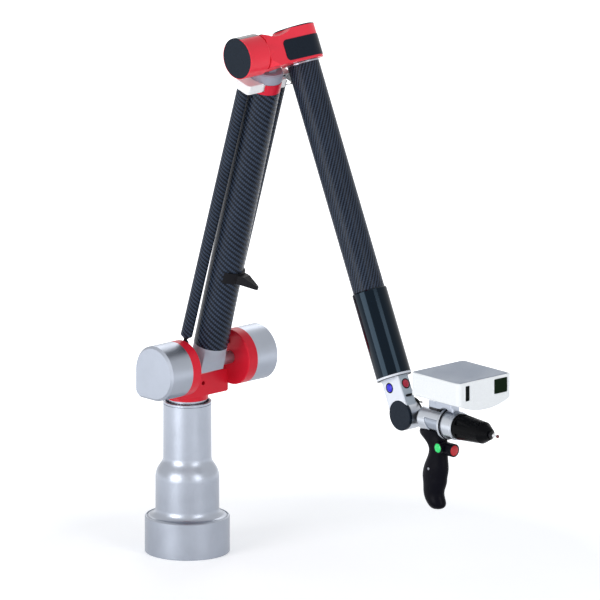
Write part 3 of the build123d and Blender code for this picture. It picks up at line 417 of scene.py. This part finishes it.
def turned_skin(origin, axis, first, second, outline, steps=96):
    """A skin turned about an axis. The outline holds pairs of a radius and a height. A point is
    the origin, plus the height times the axis, plus the radius times the spoke, which is the
    first direction times the cosine of the turn plus the second times its sine."""
    turn = np.linspace(0, 2 * math.pi, steps, endpoint=False)
    radius = np.array(outline)[:, 0, None, None]
    height = np.array(outline)[:, 1, None, None]
    spoke = np.cos(turn)[:, None] * np.array(first) + np.sin(turn)[:, None] * np.array(second)
    return np.array(origin) + height * np.array(axis) + radius * spoke


blue_black = (0.0006, 0.0020, 0.005)
blue_sheen = (0.50, 0.75, 1.0, 1.0)
sleeve_gloss = moulded("sleeve_gloss", blue_black, 0.10, 300.0, 0.000003, 0.22)
sleeve_surface = sleeve_gloss.node_tree.nodes["Principled BSDF"]
sleeve_surface.inputs["Specular Tint"].default_value = blue_sheen
wear(sleeve_gloss, "grip_sleeve")
rubber_black = (0.008, 0.008, 0.010)
rubber = moulded("rubber_black", rubber_black, 0.6, 900.0)
ring_end = 0.592
gasket_low = ring_end + 0.0001
gasket_mid = ring_end + 0.0004
gasket_high = ring_end + 0.0009
gasket_inner = 0.0272
gasket_outer = 0.0302
gasket_bulge = 0.0306
gasket_outline = [(gasket_inner, gasket_low), (gasket_outer, gasket_low),
                  (gasket_bulge, gasket_mid), (gasket_outer, gasket_high),
                  (gasket_inner, gasket_high), (gasket_inner, gasket_low)]
solid("sleeve_gasket", [turned_skin(fore_top, fore_axis, fore_front, across, gasket_outline)],
      rubber, "forearm")

# Fork. The fork is white up to a little way in from its face and light grey elsewhere, and
# the sleeve's ring is white too. Two domed keys, blue in the face and red in the side, stand
# in black rings, which on the fork are painted shade round the keys.
fork_face = 0.0497
face_depth = 0.0022
fork_grey = (0.52, 0.58, 0.64)
face_white = (0.76, 0.79, 0.85)
shade = Shade("fork_white")
where = shade.place()
peel = shade.noise(where, 700.0, 2.0)
face_part = shade.along(where, across).math("LESS_THAN", fork_face + face_depth)
ring_part = shade.along(where, fore_axis, fore_top).math("LESS_THAN", ring_end)
white_part = (face_part + ring_part).math("MINIMUM", 1.0)
wear(shade.finish(white_part.blend(fork_grey, face_white), peel * 0.1 + 0.3, 0.0, peel,
                  0.00001, 0.3), "sleeve_ring", "wrist_fork")
crown = 0.0018
key_root = -0.0034


def key_cap(node, body, centre, axis, first, second, radius, top, colour):
    """A domed key in the place of its CAD solid. Its top is a quarter of an ellipse, from the
    rim to the middle: the radius times the sine of an angle, and the crown times its cosine."""
    dome = [(radius * math.sin(a), top - crown + crown * math.cos(a))
            for a in np.linspace(math.pi / 2, 0.1, 12)]
    skin = turned_skin(centre, axis, first, second, [(radius, key_root)] + dome, 64)
    gloss = moulded(node + "_gloss", colour, 0.25, 800.0, 0.00001, 0.35)
    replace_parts(solid(node + "_cap", [skin], gloss, body), node)


# On the fork these black rings are painted shade round the keys' recesses.
def dark_key_ring(name, body, centre, axis, first, second, inner, outer, proud):
    """A rounded ring round a key: an ellipse, half as wide as the ring, turned about the axis."""
    middle = (inner + outer) / 2
    half = (outer - inner) / 2
    outline = [(middle + half * math.cos(a), proud * math.sin(a))
               for a in np.linspace(0, 2 * math.pi, 17)]
    solid(name, [turned_skin(centre, axis, first, second, outline, 64)], rubber, body)


wrist = np.array((0.4829, 0.0623, 0.3194))
front = np.array(fore_front)
down = np.array(fore_axis)
towards_viewer = (0.0, -1.0, 0.0)
fork_key = 0.00695
fork_key_top = 0.0016
fork_shade_ring = (0.00705, 0.0090, 0.0006)
blue_back = 0.0052
blue_above = 0.0504
blue_at = wrist - blue_back * front - blue_above * down
blue_at[1] = fork_face
red_below = 0.6086
red_forward = 0.0234
red_aside = np.array((0.0, 0.001, 0.0))
red_at = np.array(fore_top) + red_below * down + red_forward * front + red_aside
key_cap("fork_button_blue", "fork_key_blue", blue_at, towards_viewer, fore_front, fore_axis,
        fork_key, fork_key_top, (0.022, 0.016, 0.64))
key_cap("fork_button_red", "fork_key_red", red_at, fore_front, across, fore_axis, fork_key,
        fork_key_top, (0.55, 0.020, 0.055))
# Painted shade: black rings round the fork's keys.
dark_key_ring("painted_shade_ring_blue", "forearm", blue_at, towards_viewer, fore_front, fore_axis, *fork_shade_ring)
dark_key_ring("painted_shade_ring_red", "forearm", red_at, fore_front, across, fore_axis, *fork_shade_ring)

# Wrist. A silver drum with a flush slate cap turns on a black rotor plate. The plate's cam
# rim comes round over the drum, and a moulded rubber stop sits on the fork's side.
wear(turned_metal("wrist_alloy", (0.55, 0.58, 0.63), across, wrist, 0.34), "wrist_drum",
     "wrist_shaft")
wear(moulded("rotor_black", rubber_black, 0.35), "wrist_rotor")
wear(cap_slate, "wrist_cap")
wear(drum_alloy, "wrist_bearings")


def swept(path, width_axis, half_width, half_height):
    """A rounded bar along a path that lies in the plane across width_axis.

    Its section is a rounded rectangle: the square root of the cosine of the turn, with the
    cosine's sign, times half the width, and the same of the sine times half the height.
    """
    path = np.array(path)
    width_axis = np.array(width_axis, dtype=float)
    tangent = np.gradient(path, axis=0)
    normal = np.cross(tangent, width_axis)
    normal /= np.linalg.norm(normal, axis=1, keepdims=True)
    turn = np.linspace(0, 2 * math.pi, 24, endpoint=False)
    wide = half_width * np.sign(np.cos(turn)) * np.abs(np.cos(turn)) ** 0.5
    high = half_height * np.sign(np.sin(turn)) * np.abs(np.sin(turn)) ** 0.5
    return (path[:, None, :] + wide[None, :, None] * width_axis
            + high[None, :, None] * normal[:, None, :])


cam_y = 0.0793
cam_radius = 0.0277
cam_turns = np.radians(np.linspace(112, 52, 25))
cam_level = 0.0232
cam_run_out = (0.0200, 0.0222, 0.0244)
cam_path = [(wrist[0] + cam_radius * math.cos(a), cam_y, wrist[2] + cam_radius * math.sin(a))
            for a in cam_turns]
cam_path += [(wrist[0] + x, cam_y, wrist[2] + cam_level) for x in cam_run_out]
solid("wrist_cam", [swept(cam_path, across, 0.0024, 0.0010)], rubber, "wrist")
stop_forward = 0.0222
stop_above = 0.0288
stop_aside = np.array((0.0, 0.0002, 0.0))
stop_middle = wrist + stop_forward * front - stop_above * down + stop_aside
stop_path = [stop_middle + front * t for t in np.linspace(-0.0014, 0.0034, 5)]
solid("wrist_stop", [swept(stop_path, across, 0.0070, 0.0021)], rubber, "forearm")

# Handle barrel. Milled from silver bar: a plain band behind, then two lands with sunk pockets
# above, between and below them, and a head in front of the ring, with a black seal behind it
# and a black hook for a cable on top.
barrel_y = 0.0755
barrel_z = 0.3194
barrel_back = 0.5190
barrel_front = 0.5770
barrel_radius = 0.0215
barrel_bevel = ((0.0, 0.0012, 0.0040), (0.0185, 0.0208, barrel_radius))
inner_edge = 0.0120
seat_depth = 0.0162
pocket_start = 0.0186
pocket_depth = 0.0019
pocket_slant = 0.0062
pocket_run = 0.0012
land_turn = math.radians(46.4)
land_half = math.radians(23.0)
land_edge = 0.06


def smooth(value, low, high):
    """0 below low and 1 above high. Between them, with t as the share of the way, it is three
    times the square of t less two times its cube."""
    t = np.clip((value - low) / (high - low), 0.0, 1.0)
    return t * t * (3.0 - 2.0 * t)


def barrel_skin():
    """x runs along the barrel, and t round it from the side that faces -Y upwards.

    The radius is the bar's own, less the pocket's depth where it is sunk. From the top, a land
    lies at its own turn to either side; the bar is sunk away from both lands, past a start that
    slants forward below them. The underside is cut flat for the grip, at seat_depth.
    """
    reach = barrel_front - barrel_back
    x = np.concatenate([(0.0, 0.0, 0.0006, 0.0012, 0.0024, 0.0040),
                        np.linspace(0.0050, reach, 110), (reach,)])
    radius = np.interp(x, *barrel_bevel)
    radius[0] = inner_edge
    radius[-1] = inner_edge
    t = np.linspace(0, 2 * math.pi, 288, endpoint=False)
    from_top = np.abs((t + math.pi / 2) % (2 * math.pi) - math.pi)
    from_land = from_top - land_turn
    start = pocket_start + pocket_slant * np.clip(from_land - land_half, 0.0, None)
    sunk = smooth(np.abs(from_land), land_half, land_half + land_edge)[None, :]
    sunk = sunk * smooth(x[:, None], start[None, :], start[None, :] + pocket_run)
    sunk[-1] = 0.0
    r = radius[:, None] - pocket_depth * sunk
    y = barrel_y - r * np.cos(t)
    z = np.maximum(r * np.sin(t), -seat_depth) + barrel_z
    return np.stack([np.broadcast_to(x[:, None] + barrel_back, y.shape), y, z], axis=-1)


barrel_line = (0.0, barrel_y, barrel_z)
ring_alloy = turned_metal("ring_alloy", (0.46, 0.49, 0.54), along_x, barrel_line, 0.3)
wear(ring_alloy, "barrel_ring")
shade = Shade("barrel_alloy")
where = shade.place()
inward = shade.along(where, across, barrel_line)
upward = shade.along(where, upwards, barrel_line)
from_axis = (inward * inward + upward * upward).math("SQRT")
bare = shade.noise(where, 900.0, 2.0)
# Painted shade: the pocket floors are painted darker than the lands, and the pocket walls darker still.
raised = from_axis.fit(barrel_radius - pocket_depth - 0.0002, barrel_radius - 0.0002)
wall_shade_mask = (1.0 - raised) * raised * 4.0
painted_pocket_shade = (0.40, 0.44, 0.51)
land_silver = (0.50, 0.53, 0.58)
painted_wall_shade = (0.16, 0.18, 0.22)
tone = raised.blend(painted_pocket_shade, land_silver)
barrel_alloy = shade.finish(wall_shade_mask.blend(tone, painted_wall_shade), bare * 0.08 + 0.26, 1.0, bare, 0.00001)
head_back = 0.5840
head_front = 0.6100
head_radius = 0.0250
lip_radius = 0.0242
head_outline = [(inner_edge, head_back), (head_radius - 0.0004, head_back),
                (head_radius, head_back + 0.0004), (head_radius, head_front - 0.0052),
                (lip_radius, head_front - 0.0044), (lip_radius, head_front),
                (inner_edge, head_front)]
head_skin = turned_skin(barrel_line, along_x, across, upwards, head_outline, 128)
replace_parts(solid("handle_body", [barrel_skin(), head_skin], barrel_alloy, "handle"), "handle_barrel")
seal_radius = 0.0262
seal_x = 0.5828
seal_outline = [(seal_radius + 0.00125 * math.cos(a), seal_x + 0.0011 * math.sin(a))
                for a in np.linspace(0, 2 * math.pi, 17)]
solid("head_seal", [turned_skin(barrel_line, along_x, across, upwards, seal_outline, 128)],
      rubber, "handle")
hook_y = 0.0628
hook_z = barrel_z + 0.0231
hook_path = [(x, hook_y, hook_z) for x in (0.5662, 0.5690, 0.5720, 0.5750)]
solid("cable_hook", [swept(hook_path, across, 0.0032, 0.0022)], rubber, "handle")

# Probe. A fluted black moulded nose screws on to the head. Its stylus has a black root and a
# ground steel stem, with a ruby ball glued to its tip.
wear(moulded("nose_black", (0.0020, 0.0022, 0.0030), 0.3, 1500.0, 0.00001, 0.05), "probe_nose")
stem_start = 0.6925
root_black = (0.006, 0.006, 0.008)
stem_steel = (0.60, 0.61, 0.63)
shade = Shade("stylus_steel")
where = shade.place()
polish = shade.noise(where, 400.0, 2.0)
steel_part = shade.along(where, along_x).math("GREATER_THAN", stem_start)
wear(shade.finish(steel_part.blend(root_black, stem_steel), polish * 0.1 + 0.2, steel_part,
                  polish, 0.000003, 0.2), "stylus")
wear(moulded("ruby", (0.10, 0.004, 0.012), 0.08, 500.0, 0.000002, 0.5), "ruby_ball")

# Pistol grip. Two moulded halves meet on the middle plane and are held by screws. Two keys
# stand in its head, green at the side and red in front, in soft black rings.
wear(moulded("grip_black", (0.0022, 0.0022, 0.0050), 0.42, 1500.0, 0.00004, 0.05), "grip_left",
     "grip_right")
green_at = (0.5700, 0.0582, 0.2770)
grip_red_at = (0.5930, barrel_y, 0.2740)
key_cap("grip_button_green", "grip_key_green", green_at, towards_viewer, along_x, upwards,
        0.00795, 0.0016, (0.025, 0.68, 0.16))
key_cap("grip_button_red", "grip_key_red", grip_red_at, along_x, across, upwards, 0.00895,
        0.0020, (0.50, 0.008, 0.016))
dark_key_ring("bezel_green", "handle", green_at, towards_viewer, along_x, upwards, 0.0081, 0.0099,
      0.0009)
dark_key_ring("bezel_grip_red", "handle", grip_red_at, along_x, across, upwards, 0.0091, 0.0111,
      0.0009)
screw_metal = turned_metal("screw_zinc", (0.30, 0.31, 0.34), across, barrel_line, 0.3)
screw_outline = [(0.0025, -0.0012), (0.0025, 0.0001), (0.0023, 0.0005), (0.0011, 0.0006),
                 (0.0010, 0.0002), (0.0003, 0.0002)]
for number, screw_at in enumerate(((0.5455, 0.0592, 0.2360), (0.5480, 0.0622, 0.1760))):
    screw_skin = turned_skin(screw_at, towards_viewer, along_x, upwards, screw_outline, 40)
    solid("grip_screw_%d" % number, [screw_skin], screw_metal, "handle")

# Line scanner. A white moulded case with a belly under it and a grey cover let into its top.
# Laser and camera look out through dark green windows, each in a raised white rim.
case_white = moulded("case_white", (0.82, 0.84, 0.85), 0.4, 1800.0, 0.00002, 0.2)
wear(case_white, "scanner_case")
wear(moulded("cover_grey", (0.33, 0.37, 0.44), 0.5), "scanner_cover")
shade = Shade("window_glass")
where = shade.place()
ripple = shade.noise(where, 40.0, 2.0)
between_windows = 0.07
camera_part = shade.along(where, across).math("GREATER_THAN", between_windows)
laser_glass = (0.0006, 0.003, 0.003)
camera_glass = (0.0005, 0.009, 0.001)
wear(shade.finish(camera_part.blend(laser_glass, camera_glass), ripple * 0.06 + 0.05, 0.0,
                  ripple, 0.000002, 0.04), "scanner_windows")
shade = Shade("bracket_alloy")
where = shade.place()
cast = shade.noise(where, 500.0, 2.0)
pad_top = barrel_z + 0.0238
pad_part = shade.along(where, upwards).math("LESS_THAN", pad_top)
bracket_silver = (0.36, 0.39, 0.45)
pad_black = (0.02, 0.02, 0.025)
wear(shade.finish(pad_part.blend(bracket_silver, pad_black), cast * 0.1 + 0.3, 1.0 - pad_part,
                  cast, 0.00001, 0.2), "scanner_bracket")
rim_x = 0.6719
rim_half = 0.0006


def rim_path(low, high, bottom, top, corner):
    """Once round a rounded rectangle in the plane of the rims: four arcs, each of which is a
    corner's middle plus the corner's radius times the cosine and sine of the turn."""
    points = []
    for turn, y, z in ((0, high - corner, top - corner), (90, low + corner, top - corner),
                       (180, low + corner, bottom + corner),
                       (270, high - corner, bottom + corner)):
        for step in np.radians(np.linspace(turn, turn + 90, 7)):
            points.append((rim_x, y + corner * math.cos(step), z + corner * math.sin(step)))
    return np.array(points)


def closed_bar(loop, normal_axis, half):
    """A round bar along a closed path. A point is the path's, plus half the bar's thickness
    times the outward direction by the cosine of the turn and the normal axis by its sine."""
    tangent = np.roll(loop, -1, axis=0) - np.roll(loop, 1, axis=0)
    outward = np.cross(tangent, normal_axis)
    outward /= np.linalg.norm(outward, axis=1, keepdims=True)
    turn = np.linspace(0, 2 * math.pi, 12, endpoint=False)
    skin = (loop[:, None, :] + half * np.cos(turn)[None, :, None] * outward[:, None, :]
            + half * np.sin(turn)[None, :, None] * np.array(normal_axis))
    return np.concatenate([skin, skin[:1]])


for name, *rim in (("laser", 0.0288, 0.0399, 0.3819, 0.4103, 0.0022),
                   ("camera", 0.0950, 0.1271, 0.3836, 0.4113, 0.0026)):
    solid("window_rim_" + name, [closed_bar(rim_path(*rim), along_x, rim_half)], case_white,
          "handle")

# Table. White laminate, which keeps the arm's shadow close by; further off it is as bright
# as the room's white walls, so that it has no edge.
table_half = 9.0
table_corners = [(-table_half, -table_half, 0), (table_half, -table_half, 0),
                 (table_half, table_half, 0), (-table_half, table_half, 0)]
table_mesh = bpy.data.meshes.new("table")
table_mesh.from_pydata(table_corners, [], [(0, 1, 2, 3)])
table = bpy.data.objects.new("table", table_mesh)
bpy.context.collection.objects.link(table)
under_arm = (0.25, 0.05, 0.0)
shade = Shade("table_top")
where = shade.place()
speck = shade.noise(where, 3.0, 2.0)
distance = shade.node("ShaderNodeVectorMath", where, under_arm, out=1, operation="DISTANCE")
seen = shade.node("ShaderNodeLightPath", out=0)
mirrored = shade.node("ShaderNodeLightPath", out=3)
through = shade.node("ShaderNodeLightPath", out=6)
counted = (seen + mirrored + through).math("MINIMUM", 1.0)
near = 0.5
far = 1.3
near_glow = 0.33
glow = distance.fit(near, far, near_glow, 1.0) * counted
shade.feed(shade.surface.inputs["Emission Color"],
           glow.blend((0.0, 0.0, 0.0), (1.0, 1.0, 1.0)))
shade.surface.inputs["Emission Strength"].default_value = 1.0
laminate = speck.fit(0.3, 0.7).blend((0.88, 0.88, 0.885), (0.91, 0.91, 0.91))
table_mesh.materials.append(shade.finish(laminate, 0.6, shine=0.0))

# Room. White walls, which light the arm a little blue, and three soft boxes that the camera
# doesn't see: a wide one low in front, one at the right and one behind at the left.
world = bpy.data.worlds.new("studio")
bpy.context.scene.world = world
world.use_nodes = True
room = world.node_tree
room.nodes.clear()
rays = room.nodes.new("ShaderNodeLightPath")
direct = room.nodes.new("ShaderNodeMath")
direct.operation = "MAXIMUM"
room.links.new(rays.outputs["Is Camera Ray"], direct.inputs[0])
room.links.new(rays.outputs["Is Transmission Ray"], direct.inputs[1])
shown = room.nodes.new("ShaderNodeMath")
shown.operation = "MAXIMUM"
room.links.new(direct.outputs[0], shown.inputs[0])
room.links.new(rays.outputs["Is Glossy Ray"], shown.inputs[1])
glow_light = room.nodes.new("ShaderNodeBackground")
glow_light.inputs[0].default_value = (0.90, 0.94, 1.0, 1.0)
glow_light.inputs[1].default_value = 0.55
white_wall = room.nodes.new("ShaderNodeBackground")
white_wall.inputs[0].default_value = (1.0, 1.0, 1.0, 1.0)
choice = room.nodes.new("ShaderNodeMixShader")
room.links.new(shown.outputs[0], choice.inputs[0])
room.links.new(glow_light.outputs[0], choice.inputs[1])
room.links.new(white_wall.outputs[0], choice.inputs[2])
room_out = room.nodes.new("ShaderNodeOutputWorld")
room.links.new(choice.outputs[0], room_out.inputs[0])
lit_point = np.array((0.25, 0.0, 0.45))
for name, stand_at, wide, tall, power in (("key", (0.2, -2.6, 0.80), 1.5, 1.5, 38.0),
                                          ("fill", (3.1, -0.1, 1.1), 1.2, 1.6, 25.0),
                                          ("rim", (-1.6, 1.9, 1.9), 1.2, 1.2, 10.0)):
    lamp = bpy.data.lights.new(name, "AREA")
    lamp.shape = "RECTANGLE"
    lamp.size = wide
    lamp.size_y = tall
    lamp.energy = power
    holder = bpy.data.objects.new(name, lamp)
    holder.visible_camera = False
    holder.location = stand_at
    aim = lit_point - np.array(stand_at)
    yaw = math.atan2(aim[1], aim[0]) - math.pi / 2
    pitch = math.atan2(math.hypot(aim[0], aim[1]), -aim[2])
    holder.rotation_euler = (pitch, 0.0, yaw)
    bpy.context.collection.objects.link(holder)

# Camera. It sees without perspective, as a very long lens does, from the front at the right
# and a little above.
azimuth = math.radians(47.6)
elevation = math.radians(14.2)
target = np.array((0.2852, 0.0, 0.4946))
outward = np.array((math.sin(azimuth) * math.cos(elevation),
                    -math.cos(azimuth) * math.cos(elevation), math.sin(elevation)))
camera_distance = 3.0
lens = bpy.data.cameras.new("camera")
lens.type = "ORTHO"
lens.ortho_scale = 1.0242
camera = bpy.data.objects.new("camera", lens)
camera.location = tuple(target + outward * camera_distance)
camera.rotation_euler = (math.pi / 2 - elevation, 0.0, azimuth)
bpy.context.collection.objects.link(camera)
bpy.context.scene.camera = camera
bpy.context.scene.view_settings.view_transform = "Standard"
